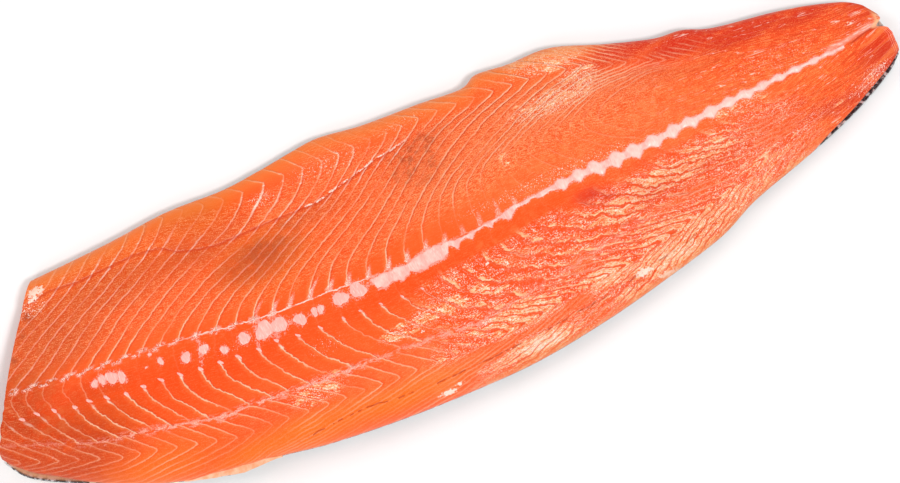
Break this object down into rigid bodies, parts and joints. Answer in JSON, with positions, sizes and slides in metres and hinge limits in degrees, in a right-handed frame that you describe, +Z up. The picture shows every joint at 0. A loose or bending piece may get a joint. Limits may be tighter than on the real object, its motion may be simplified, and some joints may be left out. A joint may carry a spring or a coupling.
{
  "type": "raw salmon fillet",
  "caption": "Long side of raw fish flesh on its skin, lying skin down, thick along the back, thin at the belly and tail, with a pale line of backbone remnants.",
  "frame": {"origin": "on the table under the middle of the fillet's bounding box", "axes": "+X from the head cut to the tail end, +Y from the back of the fish to its belly, +Z up out of the cut face"},
  "size_m": [0.5418, 0.1644, 0.0312],
  "materials": {
    "flesh": "wet raw flesh, orange with pale seams between the flakes",
    "skin": "wet scaled skin, dark grey along the back and silver along the belly",
    "bone": "wet translucent cartilage, pale pink"
  },
  "bodies": {
    "root": {"flesh": "flesh", "skin": "skin", "backbone_strip": "bone"}
  },
  "joints": []
}
